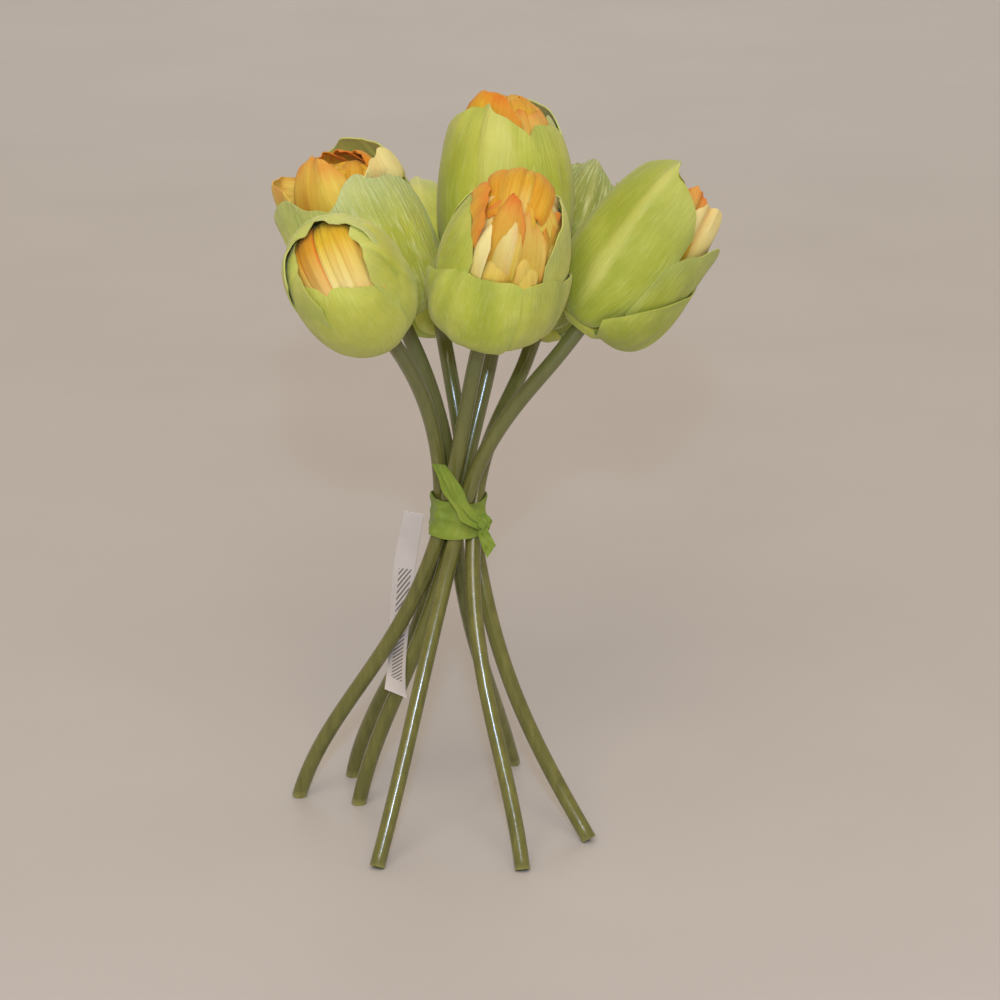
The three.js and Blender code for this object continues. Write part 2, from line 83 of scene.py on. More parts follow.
# Each stem: where it stands, its place in the tie, its lean there and the way it leans,
# how far its foot is drawn in, where its head begins and the way the head faces.
STEMS = [
    dict(foot=(-31.8, 32.6), slot=164.1, lean=5.2, heading=278.2, draw=0.2,
         neck=(-21, -29.2, 154.1), facing=(-0.345, -0.649, 0.678)),
    dict(foot=(15.7, 42.1), slot=108.9, lean=4.6, heading=223.7, draw=0.36,
         neck=(-16.2, 6, 147.4), facing=(-0.4, -0.05, 0.915)),
    dict(foot=(-29.3, 9.8), slot=None, lean=11.4, heading=31.7, draw=0.21,
         neck=(11.3, 12, 155.1), facing=(0.05, -0.04, 0.99)),
    dict(foot=(-46.9, 15.8), slot=227.1, lean=13.1, heading=352.4, draw=0.2,
         neck=(8.1, -19.2, 152.4), facing=(0.2, -0.47, 0.855)),
    dict(foot=(-22.5, -39.9), slot=286.9, lean=17.6, heading=34.2, draw=0.37,
         neck=(34.6, -8, 148.6), facing=(0.61, 0.11, 0.78)),
    dict(foot=(18.1, -41.6), slot=347.6, lean=25.9, heading=78.1, draw=0.31,
         neck=(22.2, 32.6, 135.8), facing=(0.343, 0.372, 0.863)),
    dict(foot=(37.1, -20.1), slot=50.1, lean=24.7, heading=106.9, draw=0.57,
         neck=(-5.3, 30, 140.8), facing=(-0.13, 0.87, 0.467)),
]


def in_frame(point):
    """A point in millimetres from the tie's axis, as metres in the frame."""
    return Vector((np.array(point) - BOX_MIDDLE) * MM)


def stem_line(stem):
    """The stem's centre line from foot to plug: (point, handle before, handle after)."""
    foot = Vector((*stem["foot"], 0))
    neck = Vector(stem["neck"])
    facing = Vector(stem["facing"]).normalized()
    slot = Vector((0, 0, TIE_HEIGHT))
    if stem["slot"] is not None:
        azimuth = math.radians(stem["slot"])
        slot.x = SLOT_RADIUS * math.cos(azimuth)
        slot.y = SLOT_RADIUS * math.sin(azimuth)
    lean, heading = math.radians(stem["lean"]), math.radians(stem["heading"])
    rising = Vector((
        math.sin(lean) * math.cos(heading),
        math.sin(lean) * math.sin(heading),
        math.cos(lean),
    ))
    bend = neck - STRAIGHT_END * facing
    below, above = (slot - foot).length, (bend - slot).length
    calf = foot.lerp(slot, stem["draw"])
    calf.z = TIE_HEIGHT / 3
    splay = (calf - foot).normalized()
    foot.z = STEM_RADIUS * math.sqrt(1 - splay.z ** 2) - FOOT_TRIM
    end = neck + PLUG_LENGTH * facing
    third = (end - bend) / 3
    return [
        (foot, foot - splay, calf),
        (slot, slot - KNEE * below * rising, slot + WAIST * above * rising),
        (bend, bend - THROAT * above * facing, bend + third),
        (end, end - third, end + third),
    ]


def deselect_all():
    bpy.ops.object.select_all(action="DESELECT")


def apply_modifiers(piece):
    bpy.context.view_layer.objects.active = piece
    for modifier in list(piece.modifiers):
        bpy.ops.object.modifier_apply(modifier=modifier.name)


def close_seams(piece):
    """Merges the points that meet, and turns the faces outwards."""
    bpy.context.view_layer.objects.active = piece
    bpy.ops.object.mode_set(mode="EDIT")
    bpy.ops.mesh.select_all(action="SELECT")
    bpy.ops.mesh.remove_doubles(threshold=1e-6)
    bpy.ops.mesh.normals_make_consistent(inside=False)
    bpy.ops.object.mode_set(mode="OBJECT")


def finish_piece(piece, name, material, node_name):
    """Names and dresses a piece, and puts it in the place of its CAD node."""
    piece.name = piece.data.name = name
    piece.data.materials.clear()
    piece.data.materials.append(material)
    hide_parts(node_name)
    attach(piece, "root")


def linear(hex_code):
    """An sRGB hex colour as linear RGBA."""
    parts = [int(hex_code[i:i + 2], 16) / 255 for i in (1, 3, 5)]
    return (*[p / 12.92 if p <= 0.04045 else ((p + 0.055) / 1.055) ** 2.4 for p in parts], 1)


def node(tree, kind, inputs=(), stops=(), output=None, **settings):
    """Adds one shader node and gives its output, the first in use unless it is named.

    Inputs go by name or in order, each a value, a hex colour or a socket to link. Stops are
    the (place, hex colour) pairs of a colour ramp.
    """
    made = tree.nodes.new(f"ShaderNode{kind}")
    for name, value in settings.items():
        setattr(made, name, value)
    used = [socket for socket in made.inputs if socket.enabled]
    by_name = isinstance(inputs, dict)
    sockets = {socket.name: socket for socket in used} if by_name else used
    for key, value in inputs.items() if by_name else enumerate(inputs):
        if isinstance(value, bpy.types.NodeSocket):
            tree.links.new(value, sockets[key])
        else:
            sockets[key].default_value = linear(value) if isinstance(value, str) else value
    for _ in stops[2:]:
        made.color_ramp.elements.new(1)
    for order, (place, colour) in enumerate(stops):
        made.color_ramp.elements[order].position = place
        made.color_ramp.elements[order].color = linear(colour)
    if output:
        return made.outputs[output]
    return next(socket for socket in made.outputs if socket.enabled)


def new_material(name, roughness, ior, **fixed):
    """A material with a principled shader whose plain values sit on its own sockets."""
    material = bpy.data.materials.new(name)
    material.use_nodes = True
    shader = material.node_tree.nodes["Principled BSDF"]
    shader.inputs["Roughness"].default_value = roughness
    shader.inputs["IOR"].default_value = ior
    for socket, value in fixed.items():
        shader.inputs[socket.replace("_", " ")].default_value = value
    return material, material.node_tree, shader


def coated(tree, ground, coats):
    """A ground colour under coats of others: each a mask, its strength and its hex colour."""
    for mask, strength, colour in coats:
        share = node(tree, "Math", (mask, strength), operation="MULTIPLY", use_clamp=True)
        ground = node(tree, "Mix", (share, ground, colour), data_type="RGBA")
    return ground


def give_surface(tree, shader, colour, relief, strength, depth):
    """Links the colour, and a bump whose depth is in metres, to the shader."""
    tree.links.new(colour, shader.inputs["Base Color"])
    bump = node(tree, "Bump", {"Height": relief, "Strength": strength, "Distance": depth})
    tree.links.new(bump, shader.inputs["Normal"])


# Moulded polyethylene, satin: a soft long sheen, faint flow lines and a paler band over
# the last 2.5 mm at the foot. Near the heads it is greyer.
stem_plastic, tree, shader = new_material(
    "moulded_olive_polyethylene", 0.24, 1.51, Coat_Weight=0.35, Coat_Roughness=0.12,
)
place = node(tree, "TexCoord", output="Object")
long_way = node(tree, "Mapping", {"Vector": place, "Scale": (1, 1, 0.12)})
flow = node(tree, "TexNoise", {
    "Vector": long_way, "Scale": 420, "Detail": 4, "Roughness": 0.6,
})
height_in = node(tree, "SeparateXYZ", (place,), output="Z")
near_head = node(tree, "MapRange", {"Value": height_in, "From Min": 0.095, "From Max": 0.15})
# Paler over the last 2.5 mm above the foot.
paler_foot = node(tree, "MapRange", {"Value": height_in, "From Min": 0.0025, "From Max": 0.0003})
olive = node(tree, "ValToRGB", (flow,), [(0.3, "#5a5c27"), (0.52, "#68692e"), (0.75, "#767739")])
olive = coated(tree, olive, [(near_head, 1, "#6b703f"), (paler_foot, 1, "#8b8a4a")])
give_surface(tree, shader, olive, flow, 0.25, 0.0004)

for number, stem in enumerate(STEMS, 1):
    deselect_all()
    bpy.ops.curve.primitive_bezier_curve_add()
    curve = bpy.context.object.data
    line = stem_line(stem)
    curve.splines[0].bezier_points.add(len(line) - 2)
    for knot, (point, before, after) in zip(curve.splines[0].bezier_points, line):
        knot.handle_left_type = knot.handle_right_type = "FREE"
        knot.co = in_frame(point)
        knot.handle_left = in_frame(before)
        knot.handle_right = in_frame(after)
    curve.resolution_u = STEM_STEPS
    curve.bevel_depth = STEM_RADIUS * MM
    curve.bevel_resolution = STEM_FACETS
    curve.use_fill_caps = True
    bpy.ops.object.convert(target="MESH")
    rod = bpy.context.object
    close_seams(rod)
    rounding = rod.modifiers.new("rounded ends", "BEVEL")
    rounding.width = STEM_END_ROUND * MM
    rounding.segments = 3
    rounding.limit_method = "ANGLE"
    rounding.angle_limit = math.radians(60)
    apply_modifiers(rod)
    for vertex in rod.data.vertices:
        vertex.co.z = max(vertex.co.z, 0)
    bpy.ops.object.shade_smooth_by_angle(angle=math.radians(50))
    finish_piece(rod, f"stem_rod_{number}", stem_plastic, f"stem_{number}")

# ---- green petals ---------------------------------------------------------------------
# Each head wears three green petals outside three more, of thin stiffened cloth pressed in
# a hot mould: soft long folds, fine pressed veins and a paler rim, partly frosted and partly
# painted sheen. They are glued to a small moulded cup that the stem plugs into.
PETAL_THICK = 0.4
WHORL_PITCH = 0.9
WHORL_TWIST = 0.45
GREEN_ROOT = (5, 2)
GREEN_SAG = 4
GREEN_GRID = (44, 44)
BELLY = 1.2
NARROW_ROOT = 0.6
CORNER_CUT = 0.2
POINT_HALF_WIDTH = 0.22
PLAIN_POINT = 0.04
PLAIN_RIBS = 0.25
PLAIN_VEINS = 0.2
CUP_PROFILE = [(0, -1.6), (4.4, -1.6), (7.2, 0.2), (7.4, 2.6), (6.2, 5.4), (0, 6.2)]

# How a petal bows between belly and mouth: a cubic curve's last handle, as shares of the
# head's girth and of the petal's height.
ROUND = (1.2, 0.95)
DRAWN = (1.3, 0.75)
OPEN = (1.3, 0.55)
# Each head's girth, how much darker its green is made, then its outer and its inner green
# petals. Turn (from the viewer's side) and half spread are in degrees, and mouth is the rim's
# radius. Out is the whorl a petal lies in, fold how deep its folds are (which also sets their
# painted highlights and shade), frost and sheen how pale its rim is, partly frosted and partly
# painted sheen, and vein how strong its veins and their painted highlights are. A few rims
# slant, or come to a longer tip.
GREEN_HEADS = [
    dict(girth=15, dark=0, petals=[
        dict(turn=-35, spread=75, mouth=9.5, height=34, out=0.7, fold=0.3, frost_and_sheen=0.1,
             wall=ROUND),
        dict(turn=95, spread=60, mouth=9, height=37, out=0.7, fold=0.5, frost_and_sheen=0.2, wall=ROUND),
        dict(turn=205, spread=75, mouth=8.5, height=39.5, out=0.6, fold=0.6, frost_and_sheen=0.3,
             wall=ROUND),
        dict(turn=25, spread=65, mouth=9.5, height=33.5, out=0, fold=0.3, frost_and_sheen=0.1,
             wall=ROUND),
        dict(turn=145, spread=65, mouth=8.5, height=40, out=0, fold=0.5, frost_and_sheen=0.4,
             wall=ROUND),
        dict(turn=265, spread=65, mouth=9, height=37.5, out=0, fold=0.3, frost_and_sheen=0.2,
             wall=ROUND),
    ]),
    dict(girth=16, dark=0, petals=[
        dict(turn=24, spread=58, mouth=16, height=43, out=1, fold=0.6, frost_and_sheen=0.75, vein=1.3,
             wall=OPEN),
        dict(turn=155, spread=62, mouth=13, height=48.5, out=1, fold=0.9, frost_and_sheen=0.3,
             wall=DRAWN),
        dict(turn=315, spread=58, mouth=19, height=43.5, out=1, fold=0.8, frost_and_sheen=0.3, vein=0.6,
             wall=OPEN),
        dict(turn=92, spread=54, mouth=15.5, height=36, out=0, fold=0.6, frost_and_sheen=0.3, wall=OPEN),
        dict(turn=205, spread=60, mouth=12, height=46.5, out=0, fold=0.8, frost_and_sheen=0.2,
             wall=DRAWN),
        dict(turn=248, spread=58, mouth=18, height=37, out=0, fold=0.6, frost_and_sheen=0.3, wall=OPEN),
    ]),
    dict(girth=16.5, dark=0.15, petals=[
        dict(turn=38, spread=66, mouth=12, height=45, slant=0.12, out=2, fold=0.8, frost_and_sheen=0.15,
             wall=DRAWN),
        dict(turn=145, spread=72, mouth=12, height=49, out=1, fold=0.8, frost_and_sheen=0.5, wall=DRAWN),
        dict(turn=-34, spread=68, mouth=11.5, height=51.5, out=1, fold=1.8, frost_and_sheen=0.1,
             wall=DRAWN),
        dict(turn=265, spread=72, mouth=10, height=46, out=0, fold=0.8, frost_and_sheen=0.1, wall=DRAWN),
        dict(turn=88, spread=60, mouth=12, height=47, out=0, fold=0.8, frost_and_sheen=0.4, wall=DRAWN),
        dict(turn=205, spread=68, mouth=10, height=48, out=0, fold=0.8, frost_and_sheen=0.2, wall=DRAWN),
    ]),
    dict(girth=16, dark=0, petals=[
        dict(turn=-42, spread=63, mouth=16.6, height=25.5, slant=0.26, out=1, fold=0.7,
             frost_and_sheen=0.1, wall=OPEN),
        dict(turn=52, spread=65, mouth=16.8, height=27, slant=-0.12, out=0.5, fold=1.0,
             frost_and_sheen=0.1, wall=OPEN),
        dict(turn=175, spread=70, mouth=11, height=41, out=1, fold=0.8, frost_and_sheen=0.1, wall=DRAWN),
        dict(turn=0, spread=50, mouth=15.5, height=26, out=-0.8, fold=0.2, frost_and_sheen=0.1,
             wall=OPEN),
        dict(turn=98, spread=56, mouth=12, height=44, out=0, fold=0.7, frost_and_sheen=0.2,
             wall=(1.3, 0.65)),
        dict(turn=266, spread=62, mouth=12, height=42, out=0, fold=0.6, frost_and_sheen=0.1,
             wall=(1.3, 0.65)),
    ]),
    dict(girth=14.8, dark=0.6, petals=[
        dict(turn=-50, spread=76, mouth=12, height=48, tip=0.12, out=1, fold=1.6, frost_and_sheen=0.15,
             vein=0.1, wall=DRAWN),
        dict(turn=72, spread=72, mouth=17.5, height=24, slant=0.36, out=1.4, fold=0.6,
             frost_and_sheen=0.1, vein=0.1, wall=OPEN),
        dict(turn=205, spread=75, mouth=9, height=47, out=1, fold=1.0, frost_and_sheen=0.2, wall=DRAWN),
        dict(turn=68, spread=50, mouth=17, height=37, out=0, fold=0.5, frost_and_sheen=0.2, vein=0.1,
             wall=OPEN),
        dict(turn=145, spread=60, mouth=11, height=44, out=0, fold=0.7, frost_and_sheen=0.2, wall=DRAWN),
        dict(turn=280, spread=65, mouth=9, height=47, out=0, fold=0.8, frost_and_sheen=0.2, wall=DRAWN),
    ]),
    dict(girth=14.5, dark=1, petals=[
        dict(turn=-20, spread=66, mouth=8, height=49, out=1, fold=0.9, frost_and_sheen=0.35, vein=1.8,
             wall=DRAWN),
        dict(turn=100, spread=70, mouth=8, height=47, out=1, fold=0.8, frost_and_sheen=0.3, wall=DRAWN),
        dict(turn=220, spread=64, mouth=8, height=48, out=1, fold=0.8, frost_and_sheen=0.3, wall=DRAWN),
        dict(turn=40, spread=65, mouth=7, height=46, out=0, fold=0.7, frost_and_sheen=0.3, wall=DRAWN),
        dict(turn=160, spread=65, mouth=7, height=47, out=0, fold=0.7, frost_and_sheen=0.3, wall=DRAWN),
        dict(turn=280, spread=65, mouth=7, height=48, out=0, fold=0.7, frost_and_sheen=0.3, wall=DRAWN),
    ]),
    dict(girth=14, dark=0.3, petals=[
        dict(turn=0, spread=70, mouth=9, height=48, out=1, fold=0.9, frost_and_sheen=0.3, wall=DRAWN),
        dict(turn=120, spread=70, mouth=9, height=47.5, out=1, fold=0.9, frost_and_sheen=0.5, vein=1.0,
             wall=DRAWN),
        dict(turn=240, spread=70, mouth=9, height=48, out=1, fold=0.9, frost_and_sheen=0.3, wall=DRAWN),
        dict(turn=60, spread=65, mouth=8, height=47, out=0, fold=0.7, frost_and_sheen=0.3, wall=DRAWN),
        dict(turn=180, spread=65, mouth=8, height=49, out=0, fold=0.7, frost_and_sheen=0.3, wall=DRAWN),
        dict(turn=300, spread=65, mouth=8, height=49, out=0, fold=0.7, frost_and_sheen=0.3, wall=DRAWN),
    ]),
]


def cup_wall(t, root, sag, girth, petal):
    """Radius, height and slope of a head's wall at each t, from root (0) to mouth (1)."""
    wide, high = petal["wall"]
    ends = np.array([
        root,
        (BELLY * girth, root[1] - sag),
        (wide * girth, high * petal["height"]),
        (petal["mouth"], petal["height"]),
    ])
    s = 1 - t
    at = [s ** 3, 3 * s * s * t, 3 * s * t * t, t ** 3]
    rate = [s * s, 2 * s * t, t * t]
    point = sum(np.multiply.outer(w, e) for w, e in zip(at, ends))
    slope = sum(np.multiply.outer(w, e) for w, e in zip(rate, np.diff(ends, axis=0)))
    slope /= np.linalg.norm(slope, axis=-1, keepdims=True)
    return point, slope


def off_wall(at, slope, outward):
    """Radius and height of points that stand off the wall."""
    return at[..., 0] + slope[..., 1] * outward, at[..., 1] - slope[..., 0] * outward


def petal_turn(u, reach, petal):
    """Turn round the head in radians: a petal is narrow at its root and soon full."""
    opened = np.sin(np.minimum(reach / 0.6, 1) * math.pi / 2)
    widening = NARROW_ROOT + (1 - NARROW_ROOT) * opened
    return np.radians(petal["turn"] + u * petal["spread"] * widening)


def round_head(radius, turn, height):
    """Points in a head's own frame, with the viewer's side at turn 0."""
    return np.stack([radius * np.sin(turn), -radius * np.cos(turn), height], axis=-1)


def long_folds(u, t, amount, draw):
    """Soft pressed folds that run up the petal and draw together towards its tip."""
    lift = np.zeros_like(u)
    for _ in range(8):
        middle, width = draw.uniform(-0.9, 0.9), draw.uniform(0.05, 0.15)
        start, size = draw.uniform(0, 0.4), draw.uniform(-0.7, 0.7)
        drift = draw.uniform(-0.12, 0.12)
        near = (u - middle * (1 - 0.45 * t) - drift * t) / width
        rise = np.clip((t - start) / 0.3, 0, 1)
        lift += size * np.exp(-near * near) * rise * rise * (3 - 2 * rise)
    broad = draw.uniform(0, 2 * math.pi, 3)
    lift += 0.35 * np.sin(2.6 * u + 3.4 * t + broad[0]) * np.sin(4.1 * t + broad[1])
    lift += 0.12 * np.sin(9 * u + 5 * t + broad[2]) * t
    return amount * lift


def green_surface(u, t, girth, petal, draw):
    """One green petal in its head's own frame: its points, and how high each is folded."""
    tip = petal.get("tip", PLAIN_POINT) * np.exp(-((u / POINT_HALF_WIDTH) ** 2))
    rim_wave = 0.012 * np.sin(7 * u + draw.uniform(0, 6)) + 0.004 * np.sin(17 * u)
    slant = petal.get("slant", 0) * u
    reach = t * (1 - CORNER_CUT * np.abs(u) ** 2.5 + slant + (tip + rim_wave) * t ** 4)
    at, slope = cup_wall(reach, GREEN_ROOT, GREEN_SAG, girth, petal)
    outer = petal["out"] > 0
    outward = WHORL_PITCH * petal["out"] + WHORL_TWIST * u
    # The folds never reach into the other whorl, and fade out at the petal's sides.
    folds = long_folds(u, t, petal["fold"], draw) * np.minimum(t / 0.25, 1)
    folds *= 1 - np.abs(u) ** 5
    outward += np.maximum(folds, -0.3) if outer else np.minimum(folds, 0.3)
    ribs = petal.get("vein", PLAIN_RIBS)
    outward += 0.08 * ribs * np.sin(2 * math.pi * 13 * (u + 0.05 * np.sin(5 * t))) * t
    # The rim curls and waves a little, and an outer petal's free side hugs the next one.
    edge = np.clip((np.maximum(np.abs(u), t) - 0.86) / 0.14, 0, 1)
    outward += 0.1 * edge ** 2 - 0.7 * np.clip(u, 0, 1) ** 4 * outer
    outward += 0.25 * edge * np.sin(13 * t + 4 * u + draw.uniform(0, 6))
    radius, height = off_wall(at, slope, outward)
    return round_head(radius, petal_turn(u, reach, petal), height), folds


def on_stem(points, stem):
    """Points of a head's own frame, in millimetres from the tie's axis."""
    facing = Vector(stem["facing"]).normalized()
    towards_viewer = Vector((0, -1, 0))
    back = -(towards_viewer - towards_viewer.dot(facing) * facing).normalized()
    right = back.cross(facing).normalized()
    return points @ np.array([right, back, facing]) + np.array(stem["neck"])


def grid_piece(name, columns, rows):
    """A grid to be shaped, with its vertices' places across (-1..1) and along (0..1)."""
    deselect_all()
    bpy.ops.mesh.primitive_grid_add(x_subdivisions=columns, y_subdivisions=rows, size=2)
    piece = bpy.context.object
    piece.name = piece.data.name = name
    co = np.zeros(len(piece.data.vertices) * 3)
    piece.data.vertices.foreach_get("co", co)
    return piece, co[0::3], (co[1::3] + 1) / 2


def put_points(piece, points):
    """Moves a piece's vertices to points in millimetres from the tie's axis."""
    piece.data.vertices.foreach_set("co", ((points - BOX_MIDDLE) * MM).ravel())


def put_look(piece, look, folds):
    """Writes what the cloths read: three shares of their colours, and the folds' heights."""
    made = piece.data.attributes.new("petal_look", "FLOAT_VECTOR", "POINT")
    made.data.foreach_set("vector", np.tile(look, len(folds)).astype(np.float32))
    made = piece.data.attributes.new("fold_height", "FLOAT", "POINT")
    made.data.foreach_set("value", folds.astype(np.float32))


def give_thickness(piece, thick):
    """Thickens a sheet evenly to both sides."""
    body = piece.modifiers.new("thickness", "SOLIDIFY")
    body.thickness = thick * MM
    body.offset = 0
    apply_modifiers(piece)


def cloth_petal(name, surface, grid, thick, look, stem):
    """One petal: a grid shaped by surface(u, t), which also tells how high it is folded."""
    petal, u, t = grid_piece(name, *grid)
    points, folds = surface(u, t)
    put_points(petal, on_stem(points, stem))
    put_look(petal, look, folds)
    give_thickness(petal, thick)
    return petal


def revolved(name, profile, stem):
    """A small turned solid on the head's axis."""
    turned, u, t = grid_piece(name, 32, 24)
    along = np.linspace(0, 1, len(profile))
    radius = np.interp(t, along, [p[0] for p in profile])
    height = np.interp(t, along, [p[1] for p in profile])
    put_points(turned, on_stem(round_head(radius, math.pi * u, height), stem))
    put_look(turned, (0.4, 0, 0), np.zeros_like(u))
    close_seams(turned)
    return turned


def joined(name, pieces, material, node_name):
    """Several parts as one piece that stands for a CAD node."""
    deselect_all()
    for piece in pieces:
        piece.select_set(True)
    bpy.context.view_layer.objects.active = pieces[0]
    bpy.ops.object.join()
    whole = bpy.context.object
    bpy.ops.object.shade_smooth_by_angle(angle=math.radians(60))
    finish_piece(whole, name, material, node_name)
    return whole


def petal_reads(tree):
    """What both cloths read on a petal: its UV, how far a point is from its middle line and
    up it, the three shares of its look and how high it is folded."""
    uv = node(tree, "TexCoord", output="UV")
    across, up, _ = node(tree, "SeparateXYZ", (uv,)).node.outputs
    side = node(tree, "Math", (across, 2, -1), operation="MULTIPLY_ADD")
    side = node(tree, "Math", (side,), operation="ABSOLUTE")
    look = node(tree, "Attribute", output="Vector", attribute_name="petal_look")
    folded = node(tree, "Attribute", output="Fac", attribute_name="fold_height")
    return uv, side, up, *node(tree, "SeparateXYZ", (look,)).node.outputs, folded


# Stiffened polyester cloth, dyed lime green: fine lengthwise veins about 0.8 mm apart, drawn
# a little coarser so that they show and traced in pale painted highlights, and mottled dye.
# Painted highlights lie along the folds' ridges and painted shade in their valleys, and a pale
# blue-white rim is partly frosted cloth and partly painted sheen.
green_cloth, tree, shader = new_material(
    "stiffened_lime_polyester_cloth", 0.6, 1.45, Sheen_Weight=0.15, Sheen_Roughness=0.5,
    Subsurface_Weight=0.12, Subsurface_Scale=0.002,
)
uv, side, up, tone, frost_and_sheen, veined, folded = petal_reads(tree)
place = node(tree, "TexCoord", output="Object")
lengthwise = node(tree, "Mapping", {"Vector": uv, "Scale": (1, 0.16, 1)})
veins = node(tree, "TexNoise", {
    "Vector": lengthwise, "Scale": 46, "Detail": 3, "Roughness": 0.6, "Distortion": 0.25,
})
mottle = node(tree, "TexNoise", {"Vector": place, "Scale": 95, "Detail": 3, "Roughness": 0.55})
broad = node(tree, "TexNoise", {"Vector": place, "Scale": 38, "Detail": 2})
root = node(tree, "MapRange", {"Value": up, "From Min": 0.32, "From Max": 0})
# Painted light from the folds' heights: a painted highlight along the raised ridges and painted
# shade down the sunken valleys.
ridge = node(tree, "MapRange", {"Value": folded, "From Min": 0.15, "From Max": 0.9})
fold_shade = node(tree, "MapRange", {"Value": folded, "From Min": -0.1, "From Max": -0.8})
# Pale painted highlights along the pressed veins, stronger on petals whose veins are strong.
vein_highlights = node(tree, "MapRange", {"Value": veins, "From Min": 0.5, "From Max": 0.64})
vein_highlight_share = node(tree, "Math", (veined, 0.34, 0.05), operation="MULTIPLY_ADD", use_clamp=True)
# A pale blue-white rim, partly frosted cloth and partly painted sheen, made ragged by broad
# noise.
side_rim = node(tree, "Math", (side, 1.6), operation="POWER")
top_rim = node(tree, "Math", (up, 1.3), operation="POWER")
rim = node(tree, "Math", (side_rim, top_rim), operation="MAXIMUM")
rim = node(tree, "MapRange", {"Value": rim, "From Min": 0.68, "From Max": 1})
rim = node(tree, "Math", (rim, frost_and_sheen), operation="MULTIPLY")
ragged = node(tree, "Math", (broad, 0.45), operation="ADD")
rim_bloom_and_sheen = node(tree, "Math", (rim, ragged), operation="MULTIPLY", use_clamp=True)
dye = node(tree, "ValToRGB", (mottle,), [(0.3, "#a3af31"), (0.5, "#b1bc3c"), (0.7, "#c0c84e")])
dye = coated(tree, dye, [
    (root, 1, "#a6b728"),
    (tone, 0.6, "#cccb5c"),
    # A head's dark share makes all of its green darker.
    (tone, -0.9, "#87942c"),
    # Painted highlight on the fold ridges, then painted shade in the fold valleys.
    (ridge, 0.4, "#d6d67c"),
    (fold_shade, 0.6, "#8f9f22"),
    (vein_highlights, vein_highlight_share, "#dfe4a4"),
    # Pale rim: partly frost, partly painted sheen.
    (rim_bloom_and_sheen, 0.75, "#bcd2ac"),
])
raised = node(tree, "Math", (veined, 0.35), operation="ADD")
raised = node(tree, "Math", (veins, raised), operation="MULTIPLY")
relief = node(tree, "Math", (mottle, 0.4, raised), operation="MULTIPLY_ADD")
give_surface(tree, shader, dye, relief, 0.55, 0.0011)

for number, (stem, head) in enumerate(zip(STEMS, GREEN_HEADS), 1):
    draw = np.random.default_rng(40 + number)
    parts = [revolved(f"cup_{number}", CUP_PROFILE, stem)]
    for order, petal in enumerate(head["petals"]):
        # Each petal is lightened at random, and a head's dark share darkens all of its green.
        tone = draw.uniform(0, 0.6) * (1 - head["dark"]) - head["dark"]
        parts.append(cloth_petal(
            f"green_petal_{number}_{order}",
            lambda u, t: green_surface(u, t, head["girth"], petal, draw),
            GREEN_GRID, PETAL_THICK,
            (tone, petal["frost_and_sheen"], petal.get("vein", PLAIN_VEINS)), stem,
        ))
    joined(f"green_petals_{number}", parts, green_cloth,
           f"flower_{number}_outer_petals")

# ---- yellow petals --------------------------------------------------------------------
# Inside the green, each head is packed with narrow ruffled petals of soft cloth on a small
# bud: golden, cream at some tips, and dyed red-orange along the edges.
YELLOW_ROOT = (3.5, 12)
YELLOW_SAG = 4
YELLOW_GRID = (18, 36)
YELLOW_THICK = 0.35
SPILLED_INSET = 2.2
TUCK = 0.5
SPILL_ROOM = 12
BUD_PROFILE = [(0, 0.18), (5, 0.2), (7.6, 0.45), (6.6, 0.82), (0, 0.93)]

